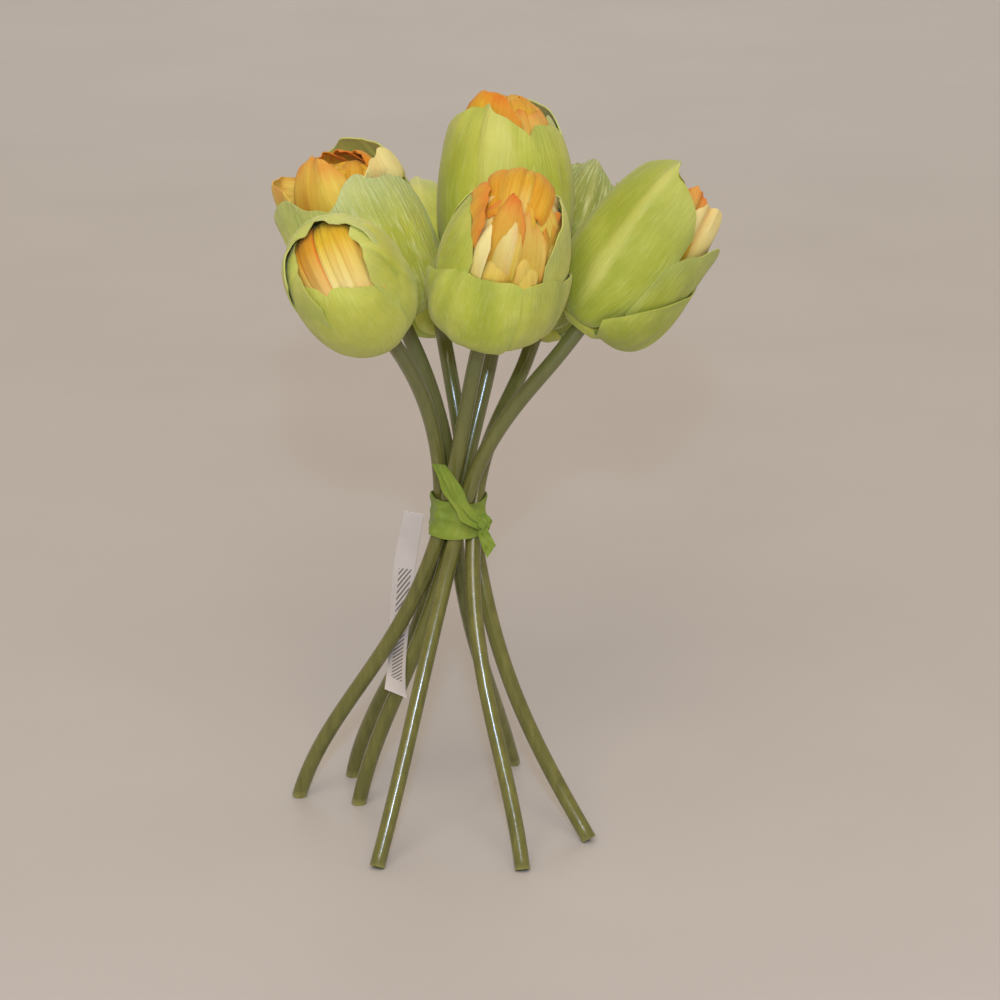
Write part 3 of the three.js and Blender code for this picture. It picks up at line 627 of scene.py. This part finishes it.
# Each head's yellow petals: mouth, height and first turn of the whorls below, then the
# petals that spill out past the green, as for the green ones. Tone runs from gold (0) to
# cream (1), red is how strongly the edges are dyed, and orange how strongly the whole is.
DOMED = (1.5, 0.9)
YELLOW_HEADS = [
    dict(crown=9, height=34, turn=10, red=0.5, orange=0.3, spilled=[]),
    dict(crown=10, height=46, turn=10, red=0.6, orange=0.5, spilled=[
        dict(turn=272, spread=50, mouth=16, height=49, tone=0.25, red=0.3, wall=DOMED),
        dict(turn=325, spread=54, mouth=5, height=52.5, tone=0.2, red=0.7, wall=DOMED),
        dict(turn=150, spread=40, mouth=6, height=49, tone=0, red=1, orange=0.8, wall=ROUND),
        dict(turn=190, spread=40, mouth=4.5, height=50, tone=0, red=0.9, orange=0.6,
             wall=ROUND),
        dict(turn=112, spread=36, mouth=8, height=47.5, tone=0, red=0.9, orange=0.6,
             wall=ROUND),
        dict(turn=55, spread=32, mouth=17.5, height=48, tone=1, red=0, wall=(1.5, 0.6)),
    ]),
    dict(crown=9.5, height=53, turn=14, red=0.9, orange=0.4, spilled=[
        dict(turn=50, spread=44, mouth=9, height=50.5, tone=0.3, red=0.6, orange=0.2,
             wall=ROUND),
        dict(turn=-40, spread=58, mouth=7.5, height=56, tone=0, red=0.8, orange=0.6,
             wall=ROUND),
        dict(turn=14, spread=36, mouth=6, height=51.5, tone=0.2, red=0.8, orange=0.3,
             wall=ROUND),
    ]),
    dict(crown=9, height=50, turn=34, red=0.6, orange=0.5, spilled=[
        dict(turn=4, spread=32, mouth=10, height=36, tone=0.3, red=0, orange=0, wall=DOMED),
        dict(turn=42, spread=30, mouth=10, height=39, tone=0.3, red=0.2, orange=0,
             wall=DOMED),
        dict(turn=18, spread=24, mouth=8, height=47, tone=0.3, red=0.7, orange=0.1,
             wall=(1.35, 0.85)),
        dict(turn=66, spread=34, mouth=10, height=45, tone=0.1, red=1, orange=0.5,
             wall=(1.3, 0.85)),
        dict(turn=316, spread=24, mouth=10, height=43, tone=1, red=0, orange=0,
             wall=(1.45, 0.85)),
        dict(turn=282, spread=40, mouth=9, height=48, tone=0.1, red=0.7, orange=0.8,
             wall=(1.3, 0.9)),
        dict(turn=340, spread=34, mouth=5, height=50, tone=0.1, red=0.9, orange=0.9,
             wall=ROUND),
    ]),
    dict(crown=7, height=44, turn=80, red=0.5, orange=0.2, spilled=[
        dict(turn=38, spread=32, mouth=12, height=48, tone=0.9, red=0.1, orange=0,
             wall=(1.4, 0.75)),
        dict(turn=62, spread=30, mouth=12, height=42, tone=0, red=0.5, orange=0.3,
             wall=(1.4, 0.75)),
        dict(turn=10, spread=34, mouth=8, height=49.5, tone=0.3, red=0.9, orange=0.3,
             wall=DRAWN),
    ]),
    dict(crown=6, height=48, turn=50, red=0.8, orange=0.4, spilled=[]),
    dict(crown=7, height=47, turn=60, red=0.6, orange=0.4, spilled=[]),
]
WHORLS = [
    dict(count=5, inset=2.2, spread=46, mouth=0.65, rise=-3, shift=0, wall=(1.25, 0.95)),
    dict(count=5, inset=3.4, spread=46, mouth=0.45, rise=-1.4, shift=36, wall=(1.25, 1.0)),
    dict(count=4, inset=4.8, spread=50, mouth=0.25, rise=-0.3, shift=12, wall=(1.2, 1.0)),
]

# The innermost petals are narrow strips folded over from the back of the head to the front:
# place across, half width, lift, tone, red and orange. They are the same on every head but
# the first, which opens towards the viewer and shows them, lower and wider, between its
# green petals.
CROWN_FALL = 0.042
CROWN_TILT = 0.1
SHOWN_TOP = 38.6
SHOWN_REACH = 11.5
TUCKED_DEPTH = 0.4
TUCKED_REACH = 0.9
STRIPS_SHOWN = [
    dict(middle=-8.3, half=3.0, lift=-0.2, tone=0.6, red=0.6, orange=0.7),
    dict(middle=-4.6, half=2.6, lift=0.4, tone=0.5, red=1, orange=1),
    dict(middle=-1.0, half=2.0, lift=-0.6, tone=1, red=0.9, orange=0),
    dict(middle=2.2, half=2.3, lift=0.1, tone=0.9, red=0.1, orange=0),
    dict(middle=5.8, half=2.9, lift=0.6, tone=0.6, red=0.2, orange=0.25),
    dict(middle=9.2, half=2.4, lift=-0.3, tone=0.4, red=0.4, orange=0.3),
]
STRIPS_TUCKED = [
    dict(middle=-6.4, half=3.2, lift=-0.5, tone=0, red=1, orange=0.9),
    dict(middle=-2.6, half=3.2, lift=0.3, tone=0.1, red=0.9, orange=0.7),
    dict(middle=1.6, half=3.0, lift=-0.3, tone=0.4, red=1, orange=0.5),
    dict(middle=5.4, half=3.2, lift=0.2, tone=0, red=0.8, orange=0.8),
]


def green_limit(turn, height, head):
    """How far out a yellow petal may lie, at a turn and a height inside the green."""
    limit = np.full(turn.shape, 1e3)
    t = np.linspace(0.12, 1, 60)
    for petal in head["petals"]:
        at, slope = cup_wall(t, GREEN_ROOT, GREEN_SAG, head["girth"], petal)
        inner_side = WHORL_PITCH * petal["out"] - WHORL_TWIST - PETAL_THICK - TUCK
        wall_radius, wall_height = off_wall(at, slope, inner_side)
        away = np.abs((np.degrees(turn) - petal["turn"] + 180) % 360 - 180)
        share = np.clip(away / petal["spread"], 0, 1)
        rim_height = np.interp(1 - CORNER_CUT * share ** 2.5, t, wall_height)
        inside = np.interp(height, wall_height, wall_radius)
        # A petal holds the yellow back over its own spread and up to its rim.
        near_side = 1 / (1 + np.exp((away / petal["spread"] - 0.97) / 0.03))
        over = np.clip((height - rim_height) / 3, 0, 1)
        held = near_side * (1 - over)
        room = inside + SPILL_ROOM * (1 - held) ** 2
        limit = np.where(held > 0.01, np.minimum(limit, room), limit)
    return limit


def yellow_surface(u, t, green, petal, draw):
    """One yellow petal in its head's own frame: its points, and how high each is folded."""
    phase = draw.uniform(0, 2 * math.pi, 5)
    ragged_tip = 0.012 * np.sin(6 * u + phase[0]) + 0.008 * np.sin(15 * u + phase[1])
    reach = t * (1 - CORNER_CUT * np.abs(u) ** 2.4 + ragged_tip * t ** 6)
    girth = green["girth"] - petal["inset"]
    at, slope = cup_wall(reach, YELLOW_ROOT, YELLOW_SAG, girth, petal)
    crease = draw.uniform(-1.1, 0.5)
    folds = crease * np.exp(-(((u - 0.2 * math.sin(phase[1])) / 0.3) ** 2)) * np.sin(2.9 * t)
    ruffle = 0.4 * np.clip((t - 0.35) / 0.6, 0, 1)
    folds += ruffle * np.sin(5 * u + phase[2]) + 0.4 * ruffle * np.sin(12 * u + phase[3])
    folds += 0.2 * np.sin(9 * u + 2.5 * t + phase[4]) * np.minimum(t * 2, 1)
    outward = folds + WHORL_TWIST * 1.3 * u + draw.uniform(-1.4, 0) * np.abs(u) ** 3 * t
    radius, height = off_wall(at, slope, outward)
    turn = petal_turn(u, reach, petal)
    radius = np.minimum(radius, green_limit(turn, height, green))
    return round_head(radius, turn, height), folds


def crown_surface(u, t, strip, top, reach, draw):
    """One strip folded over the top of a head: its points, and how high each is folded."""
    phase = draw.uniform(0, 2 * math.pi, 3)
    folds = 0.3 * np.sin(2.5 * u + 3 * t + phase[0]) + 0.08 * np.sin(7 * u - 2 * t + phase[1])
    gather = 0.78 + 0.22 * np.sin(math.pi * t)
    x = (strip["middle"] + strip["half"] * u + 0.5 * np.sin(3 * t + phase[2])) * gather
    y = reach * np.cos(math.pi * t)
    fall = CROWN_FALL * (x * x + y * y)
    z = top + CROWN_TILT * y - fall + strip["lift"] + 1.1 * (1 - u * u) + folds
    return np.stack([x, y, z], axis=-1), folds


# Soft polyester cloth, dyed by hand: gold body, cream tips, red-orange edges and a few long
# streaks where the dye ran, with painted shade, a darker orange, in the hollows of its folds.
yellow_cloth, tree, shader = new_material(
    "dyed_golden_polyester_cloth", 0.7, 1.42, Sheen_Weight=0.05, Sheen_Roughness=0.5,
    Subsurface_Weight=0.08, Subsurface_Scale=0.0015,
)
uv, side, up, tone, red, orange, folded = petal_reads(tree)
place = node(tree, "TexCoord", output="Object")
lengthwise = node(tree, "Mapping", {"Vector": uv, "Scale": (1, 0.14, 1)})
streaks = node(tree, "TexNoise", {
    "Vector": lengthwise, "Scale": 17, "Detail": 3, "Roughness": 0.6,
})
blotch = node(tree, "TexNoise", {"Vector": place, "Scale": 120, "Detail": 2})
tip = node(tree, "MapRange", {"Value": up, "From Min": 0.45, "From Max": 0.85})
# Painted shade: a darker orange in the hollows of the folds.
fold_shade = node(tree, "MapRange", {"Value": folded, "From Min": -0.1, "From Max": -0.9})
edge = node(tree, "Math", (side, up), operation="MAXIMUM")
uneven = node(tree, "Math", (blotch, 0.4, -0.2), operation="MULTIPLY_ADD")
edge = node(tree, "Math", (edge, uneven), operation="ADD")
edge = node(tree, "MapRange", {"Value": edge, "From Min": 0.82, "From Max": 1.08})
dye = node(tree, "ValToRGB", (streaks,), [
    (0.34, "#cf9e16"), (0.5, "#d6b526"), (0.66, "#dcc840"),
])
dye = coated(tree, dye, [
    (orange, 0.6, "#d07e14"),
    (tip, tone, "#e9de98"),
    # Painted shade in the fold hollows.
    (fold_shade, 0.5, "#c98a18"),
    (edge, red, "#cf6418"),
])
relief = node(tree, "Math", (blotch, 0.4, streaks), operation="MULTIPLY_ADD")
give_surface(tree, shader, dye, relief, 0.5, 0.0007)

for number, (stem, head, green) in enumerate(zip(STEMS, YELLOW_HEADS, GREEN_HEADS), 1):
    draw = np.random.default_rng(70 + number)
    profile = [(radius, share * head["height"]) for radius, share in BUD_PROFILE]
    parts = [revolved(f"bud_{number}", profile, stem)]
    petals = [dict(inset=SPILLED_INSET, **petal) for petal in head["spilled"]]
    for whorl in WHORLS:
        for k in range(whorl["count"]):
            petals.append(dict(
                turn=head["turn"] + whorl["shift"] + 360 * k / whorl["count"]
                + draw.uniform(-9, 9),
                spread=whorl["spread"] * draw.uniform(0.85, 1.15),
                mouth=head["crown"] * whorl["mouth"] + draw.uniform(-0.4, 0.4),
                wall=whorl["wall"],
                height=head["height"] + whorl["rise"] + draw.uniform(-1.5, 0.8),
                inset=whorl["inset"],
                tone=draw.uniform(0, 1) ** 3,
                red=head["red"] * draw.uniform(0.2, 1),
                orange=head["orange"] * draw.uniform(0, 1),
            ))
    for order, petal in enumerate(petals):
        parts.append(cloth_petal(
            f"yellow_petal_{number}_{order}",
            lambda u, t: yellow_surface(u, t, green, petal, draw),
            YELLOW_GRID, YELLOW_THICK,
            (petal["tone"], petal["red"], petal.get("orange", 0)), stem,
        ))
    strips, top, reach = STRIPS_SHOWN, SHOWN_TOP, SHOWN_REACH
    if number > 1:
        strips = STRIPS_TUCKED
        top = head["height"] - TUCKED_DEPTH
        reach = TUCKED_REACH * head["crown"]
    for order, strip in enumerate(strips):
        parts.append(cloth_petal(
            f"crown_strip_{number}_{order}",
            lambda u, t: crown_surface(u, t, strip, top, reach, draw),
            YELLOW_GRID, YELLOW_THICK, (strip["tone"], strip["red"], strip["orange"]), stem,
        ))
    joined(f"yellow_petals_{number}", parts, yellow_cloth,
           f"flower_{number}_inner_petals")

# ---- ribbon ---------------------------------------------------------------------------
# One strip of crumpled grass-green paper ribbon, 12 mm wide. It is wound tight round the
# stems, crosses itself over the front, and is knotted at the front right with one end up
# and one down.
RIBBON_THICK = 0.3
BAND_BOTTOM = 86
BAND_TOP = 97.4
BAND_GAP = 0.25
BAND_SLACK = 0.3
BAND_GRID = (150, 26)
CREASE_DEPTH = 0.55
KNOT_MIDDLE = (7.0, -9.3, 91.7)
KNOT_SIZE = (2.3, 1.5, 2.3)
# Each of the band's creases: its place up the band, its size and its width, as shares.
CREASES = (
    (0.14, 0.5, 0.07), (0.36, -0.4, 0.1), (0.52, 0.55, 0.07), (0.7, -0.35, 0.08),
    (0.86, 0.45, 0.06),
)
# Each loose end by its two edges, from its tip to the knot.
UPPER_END = (
    [(-7.1, -11.4, 109.6), (-5.3, -11.3, 105.2), (-4.4, -11.1, 101.7), (-2.5, -11.0, 98.7),
     (-0.5, -10.9, 95.8), (0.9, -10.8, 92.7), (5.2, -10.7, 90.5)],
    [(-3.4, -10.9, 108.9), (-0.7, -10.8, 105.1), (1.4, -10.6, 101.7), (2.8, -10.5, 98.0),
     (4.3, -10.3, 96.0), (6.9, -9.8, 94.4), (8.6, -9.0, 92.0)],
)
LOWER_END = (
    [(8.2, -11.3, 82.0), (7.3, -11.1, 83.9), (6.6, -10.9, 85.7), (6.0, -10.6, 87.6),
     (5.7, -10.2, 89.6)],
    [(10.6, -10.6, 85.4), (10.1, -10.5, 86.5), (9.5, -10.4, 87.5), (8.8, -10.2, 88.8),
     (8.2, -9.9, 90.4)],
)


def cubic_between(before, after, t):
    """A point of a stem's centre line between two of its knots."""
    s = 1 - t
    (a, _, b), (d, c, _) = before, after
    return s ** 3 * a + 3 * s * s * t * b + 3 * s * t * t * c + t ** 3 * d


def stems_at(height):
    """Where every stem passes a height near the tie, in plan."""
    found = []
    for stem in STEMS:
        foot, tie, bend, _ = stem_line(stem)
        spans = ((foot, tie), (tie, bend))
        points = [cubic_between(*span, k / 60) for span in spans for k in range(61)]
        tall = [p.z for p in points]
        found.append([np.interp(height, tall, [p[axis] for p in points]) for axis in (0, 1)])
    return np.array(found)


def belt(azimuth, centres):
    """Radius at an azimuth of a belt pulled tight round round stems."""
    turn = np.radians(np.arange(-80, 81, 2))
    away = np.stack([np.cos(azimuth + turn), np.sin(azimuth + turn)])
    reach = (centres @ away).max(axis=0) + STEM_RADIUS
    return (reach / np.cos(turn)).min()


def shaped_grid(name, columns, rows, surface):
    """A sheet whose points are given by surface(u, t)."""
    sheet, u, t = grid_piece(name, columns, rows)
    put_points(sheet, surface(u, t))
    return sheet


def band_surface(u, t):
    """The wound band, creased along lines that draw together at the knot."""
    heights = np.linspace(BAND_BOTTOM - 1, BAND_TOP + 1, 7)
    azimuths = np.linspace(-math.pi, math.pi, 181)
    stems = [stems_at(z) for z in heights]
    table = np.array([[belt(a, centres) for a in azimuths] for centres in stems])
    azimuth = u * math.pi
    knot = math.atan2(KNOT_MIDDLE[1], KNOT_MIDDLE[0])
    away = np.abs((azimuth - knot + math.pi) % (2 * math.pi) - math.pi)
    spread = 0.35 + 0.65 * np.minimum(away / 1.4, 1)
    lower = BAND_BOTTOM + 0.2 + 0.4 * np.sin(2 * azimuth + 1) + 0.12 * np.sin(7 * azimuth)
    upper = BAND_TOP - 0.2 + 0.4 * np.sin(3 * azimuth) + 0.12 * np.sin(8 * azimuth + 2)
    gathered = (t - 0.5) * (0.72 + 0.28 * spread)
    height = (lower + upper) / 2 + (upper - lower) * gathered
    bulk = np.zeros_like(u)
    for k in range(len(heights) - 1):
        share = (height - heights[k]) / (heights[k + 1] - heights[k])
        here = (share >= 0) & (share < 1)
        below, above = [np.interp(azimuth, azimuths, table[k + i]) for i in (0, 1)]
        bulk = np.where(here, below * (1 - share) + above * share, bulk)
    creases = np.zeros_like(u)
    for line, size, width in CREASES:
        path = 0.5 + (line - 0.5) / (0.3 + 0.7 * spread) + 0.05 * np.sin(4 * azimuth + 9 * line)
        creases += size * np.exp(-(((t - path) / width) ** 2))
    creases += 0.16 * np.sin(9 * azimuth + 7 * t) + 0.12 * np.sin(17 * azimuth - 11 * t)
    creases *= np.minimum(np.minimum(t, 1 - t) / 0.15, 1)
    radius = bulk + BAND_GAP + RIBBON_THICK / 2 + BAND_SLACK + CREASE_DEPTH * creases
    return np.stack([radius * np.cos(azimuth), radius * np.sin(azimuth), height], axis=-1)


def between_edges(edges, u, t):
    """A smooth strip between two edges, each given by its points."""
    sides = []
    for edge in edges:
        edge = np.array(edge, float)
        place = t * (len(edge) - 1)
        k = np.clip(place.astype(int), 0, len(edge) - 2)
        f = (place - k)[:, None]
        before, here = edge[np.maximum(k - 1, 0)], edge[k]
        after, beyond = edge[k + 1], edge[np.minimum(k + 2, len(edge) - 1)]
        sides.append(0.5 * (2 * here + (after - before) * f
                     + (2 * before - 5 * here + 4 * after - beyond) * f ** 2
                     + (3 * here - before - 3 * after + beyond) * f ** 3))
    share = ((u + 1) / 2)[:, None]
    return sides[0] * (1 - share) + sides[1] * share


def loose_end(edges, ridge):
    """The surface of one end, with a rolled edge and a crease down its length."""
    def surface(u, t):
        points = between_edges(edges, u, t)
        lift = ridge * np.exp(-(((u + 0.35 - 0.5 * t) / 0.22) ** 2))
        lift += 0.35 * np.exp(-(((u + 0.95) / 0.2) ** 2)) + 0.18 * np.sin(7 * u + 9 * t)
        points[:, 1] -= lift
        return points
    return surface


def knot_surface(u, t):
    """The pulled knot: a small lump, pleated round its middle."""
    around, up = math.pi * u, math.pi * (t - 0.5)
    pleats = 1 + 0.12 * np.sin(5 * around + 4 * up) + 0.08 * np.sin(9 * around - 3 * up)
    ball = np.stack([
        np.cos(up) * np.cos(around), np.cos(up) * np.sin(around), np.sin(up),
    ], axis=-1)
    return np.array(KNOT_MIDDLE) + ball * np.array(KNOT_SIZE) * pleats[:, None]


# Crumpled paper ribbon, matte with a faint sheen: a mottled grass green, paler on the high
# points of the crumple pattern, with short soft creases that run along the strip.
ribbon_cloth, tree, shader = new_material(
    "crumpled_grass_green_paper_ribbon", 0.62, 1.45, Sheen_Weight=0.1,
)
place = node(tree, "TexCoord", output="Object")
crumple = node(tree, "TexNoise", {
    "Vector": place, "Scale": 190, "Detail": 4, "Roughness": 0.55, "Distortion": 0.8,
})
cloud = node(tree, "TexNoise", {"Vector": place, "Scale": 75, "Detail": 2})
# Paler on the high points of the crumple pattern that also raises the bump.
paler_crumple_tops = node(tree, "MapRange", {"Value": crumple, "From Min": 0.55, "From Max": 0.75})
dye = node(tree, "ValToRGB", (cloud,), [(0.3, "#687f24"), (0.5, "#768e29"), (0.7, "#8a9833")])
dye = coated(tree, dye, [(paler_crumple_tops, 0.4, "#98a555")])
give_surface(tree, shader, dye, crumple, 0.5, 0.0009)

band = shaped_grid("ribbon_band", *BAND_GRID, band_surface)
close_seams(band)
knot = shaped_grid("ribbon_knot", 40, 24, knot_surface)
close_seams(knot)
upper_end = shaped_grid("ribbon_upper_end", 14, 60, loose_end(UPPER_END, 0.7))
lower_end = shaped_grid("ribbon_lower_end", 10, 30, loose_end(LOWER_END, 0.35))
for strip in (band, upper_end, lower_end):
    give_thickness(strip, RIBBON_THICK)
ribbon = joined("ribbon_wound_and_knotted", [band, knot, upper_end, lower_end],
                ribbon_cloth, "ribbon_tie")

# ---- price label ----------------------------------------------------------------------
# A narrow strip of milky film, 5.6 mm wide, that hangs from under the ribbon and turns as
# it falls. It is printed with plain even bars and has one curled corner at its foot.
LABEL_THICK = 0.25
LABEL_EDGES = (
    [(-15.2, 6, 90.5), (-18.4, 8.8, 74), (-19.8, 9.8, 56), (-20.2, 4.8, 46),
     (-21.2, 1.1, 38.5)],
    [(-9.8, 4.5, 89.5), (-12.2, 6.8, 74), (-14.3, 5.2, 56), (-15.2, -1.8, 46),
     (-15.1, -2.1, 37)],
)
LABEL_LENGTH = 52
CURL_START = 0.93
BAR_PITCH = 1.3
BAR_SHARE = 0.42
BAR_TILT = 0.13
BARS_ACROSS = (0.26, 0.84)
BARS_DOWN = (0.27, 0.86)


def label_surface(u, t):
    """The strip between its two edges, with a curl at its lowest corner."""
    points = between_edges(LABEL_EDGES, u, t)
    curl = np.clip(t - CURL_START, 0, 1) / (1 - CURL_START) * np.clip(u, 0, 1)
    points[:, 0] += 0.7 * curl ** 2
    points[:, 1] -= 0.9 * curl ** 2
    points[:, 1] += 0.12 * np.sin(14 * t + 1.5 * u)
    return points


# Milky polypropylene film, glossy, with dark bars printed across its middle.
label_film, tree, shader = new_material(
    "milky_polypropylene_film", 0.3, 1.49, Coat_Weight=0.3,
)
uv = node(tree, "TexCoord", output="UV")
across, down, _ = node(tree, "SeparateXYZ", (uv,)).node.outputs
tilted = node(tree, "Math", (across, BAR_TILT, down), operation="MULTIPLY_ADD")
pitches = node(tree, "Math", (tilted, LABEL_LENGTH / BAR_PITCH), operation="MULTIPLY")
within = node(tree, "Math", (pitches,), operation="FRACT")
bars = node(tree, "Math", (within, BAR_SHARE), operation="LESS_THAN")
for way, (start, end) in ((across, BARS_ACROSS), (down, BARS_DOWN)):
    past = node(tree, "Math", (way, start), operation="GREATER_THAN")
    short = node(tree, "Math", (way, end), operation="LESS_THAN")
    bars = node(tree, "Math", (bars, past), operation="MULTIPLY")
    bars = node(tree, "Math", (bars, short), operation="MULTIPLY")
place = node(tree, "TexCoord", output="Object")
cloud = node(tree, "TexNoise", {"Vector": place, "Scale": 90, "Detail": 2})
film = node(tree, "ValToRGB", (cloud,), [(0.35, "#c3bfbb"), (0.65, "#cdc9c5")])
film = coated(tree, film, [(bars, 0.8, "#3a3434")])
tree.links.new(film, shader.inputs["Base Color"])

label = shaped_grid("film_label", 10, 60, label_surface)
give_thickness(label, LABEL_THICK)
joined("film_label", [label], label_film, "price_label")

# ---- the room -------------------------------------------------------------------------
# A long sweep of plain pale paper under the bunch, which rises well behind it. Warm light
# comes softly from all round, a small cool lamp stands just over the lens and a soft one
# hangs over the far paper.
SWEEP_FRONT = -1500
SWEEP_BEND = 1500
SWEEP_RADIUS = 400
SWEEP_TOP = 1600
SWEEP_HALF_WIDTH = 1500
ROOM_COLOUR = (0.85, 0.69, 0.55, 1)
ROOM_STRENGTH = 0.64


def sweep_surface(u, t):
    """The paper: flat, then bent up on a quarter circle, then upright."""
    flat = SWEEP_BEND - SWEEP_FRONT
    arc = SWEEP_RADIUS * math.pi / 2
    run = t * (flat + arc + SWEEP_TOP - SWEEP_RADIUS)
    turn = np.clip((run - flat) / SWEEP_RADIUS, 0, math.pi / 2)
    rise = np.maximum(run - flat - arc, 0)
    y = SWEEP_FRONT + np.minimum(run, flat) + SWEEP_RADIUS * np.sin(turn)
    z = SWEEP_RADIUS * (1 - np.cos(turn)) + rise
    return np.stack([u * SWEEP_HALF_WIDTH, y, z], axis=-1)


sweep = shaped_grid("paper_sweep", 2, 240, sweep_surface)
bpy.ops.object.shade_smooth()
paper, tree, shader = new_material("matte_pale_paper", 0.85, 1.4)
place = node(tree, "TexCoord", output="Object")
fibres = node(tree, "TexNoise", {"Vector": place, "Scale": 9, "Detail": 5})
tint = node(tree, "ValToRGB", (fibres,), [(0.3, "#bbb9b7"), (0.7, "#bfbdbb")])
tree.links.new(tint, shader.inputs["Base Color"])
sweep.data.materials.append(paper)

world = bpy.data.worlds.new("soft_room")
bpy.context.scene.world = world
world.use_nodes = True
background = world.node_tree.nodes["Background"]
background.inputs["Color"].default_value = ROOM_COLOUR
background.inputs["Strength"].default_value = ROOM_STRENGTH


def soft_light(name, place, target, size, power, colour):
    """A square soft light that faces a point."""
    bpy.ops.object.light_add(type="AREA", location=place)
    lamp = bpy.context.object
    lamp.name = name
    lamp.data.size = size
    lamp.data.energy = power
    lamp.data.color = colour
    lamp.rotation_euler = (Vector(target) - Vector(place)).to_track_quat("-Z", "Y").to_euler()


soft_light("over_lens", (0.0025, -1.075, 0.56), (0, 0, 0.1), 0.05, 4.3, (0.5, 0.68, 1.0))
soft_light("ceiling", (-0.1, -1.4, 1.4), (0, 0, 0.1), 1.4, 20.5, (1.0, 0.83, 0.67))
soft_light("over_far_paper", (0, 1.5, 1.4), (0, 1.55, 0), 0.9, 7.4, (0.96, 1.0, 1.0))
